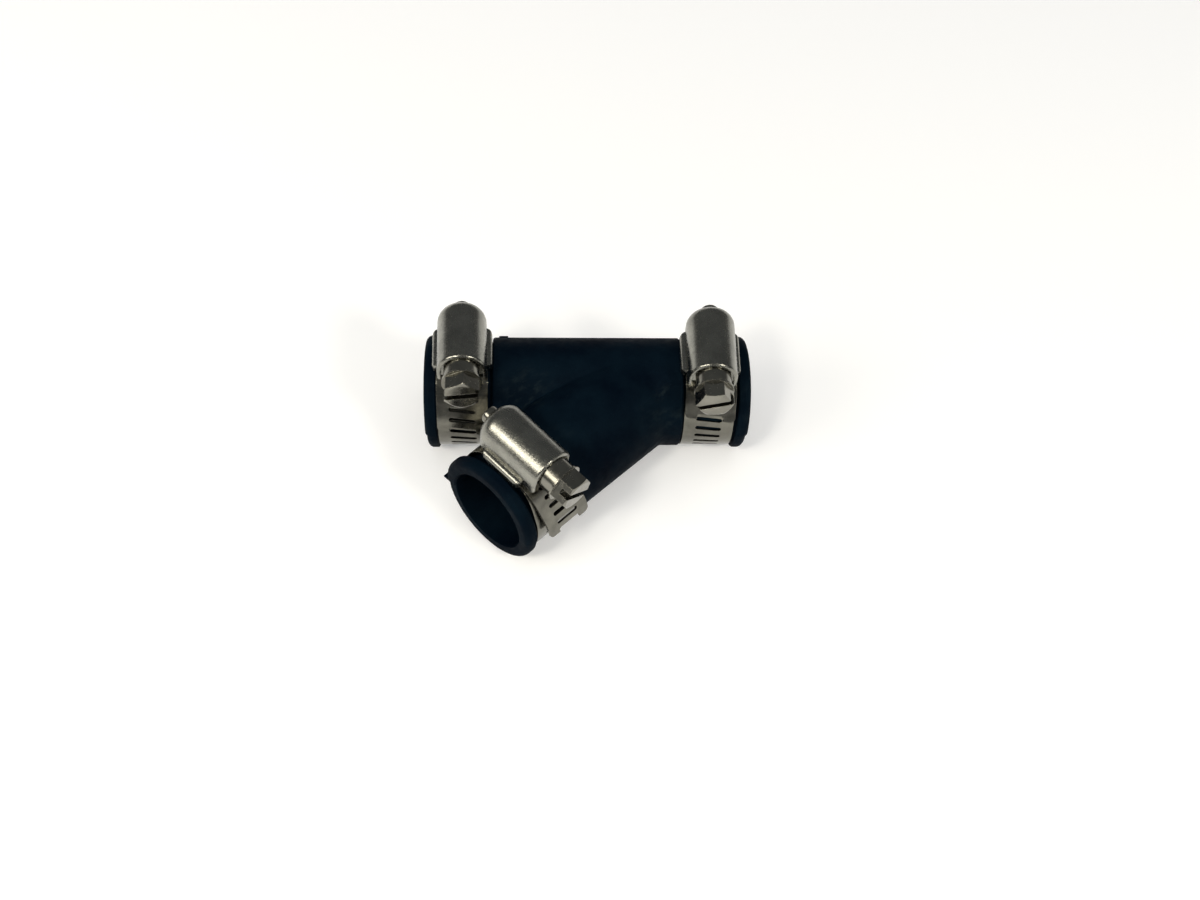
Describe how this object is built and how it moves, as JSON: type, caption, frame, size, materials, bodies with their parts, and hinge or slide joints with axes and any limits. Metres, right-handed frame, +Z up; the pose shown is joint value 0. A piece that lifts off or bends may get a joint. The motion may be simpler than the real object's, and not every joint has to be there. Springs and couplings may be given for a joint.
{
  "type": "tubing y connector",
  "caption": "Black rubber wye connector for tubing, with a branch at 45 degrees and a worm-drive clamp in the groove of each end.",
  "frame": {"origin": "where the run's axis and the branch's axis cross, in the mid-plane of the wye", "axes": "+X along the run towards its short end, +Z up through the clamp housings; the branch leaves towards -X and -Y in the XY plane"},
  "size_m": [0.08, 0.0603, 0.0385],
  "materials": {
    "rubber": "soft matte moulded rubber",
    "band_steel": "rolled strip, satin",
    "housing_steel": "pressed sheet, satin",
    "screw_steel": "turned and cold-headed, semi-bright"
  },
  "bodies": {
    "wye": {"wye_body": "rubber", "left_clamp_band": "band_steel", "left_clamp_housing": "housing_steel", "right_clamp_band": "band_steel", "right_clamp_housing": "housing_steel", "branch_clamp_band": "band_steel", "branch_clamp_housing": "housing_steel"},
    "left_screw": {"left_clamp_screw": "screw_steel"},
    "right_screw": {"right_clamp_screw": "screw_steel"},
    "branch_screw": {"branch_clamp_screw": "screw_steel"}
  },
  "joints": [
    {"name": "left_screw_turn", "type": "hinge", "parent": "wye", "child": "left_screw", "pos_m": [-0.0428, 0, 0.01855], "axis": [0.0279, -0.9996, 0], "range_deg": [-450, 3240]},
    {"name": "right_screw_turn", "type": "hinge", "parent": "wye", "child": "right_screw", "pos_m": [0.01765, -0.00149, 0.01849], "axis": [-0.0279, -0.9964, -0.0802], "range_deg": [-450, 3240]},
    {"name": "branch_screw_turn", "type": "hinge", "parent": "wye", "child": "branch_screw", "pos_m": [-0.02759, -0.03124, 0.01837], "axis": [0.7002, -0.7002, -0.1392], "range_deg": [-450, 3240]}
  ]
}
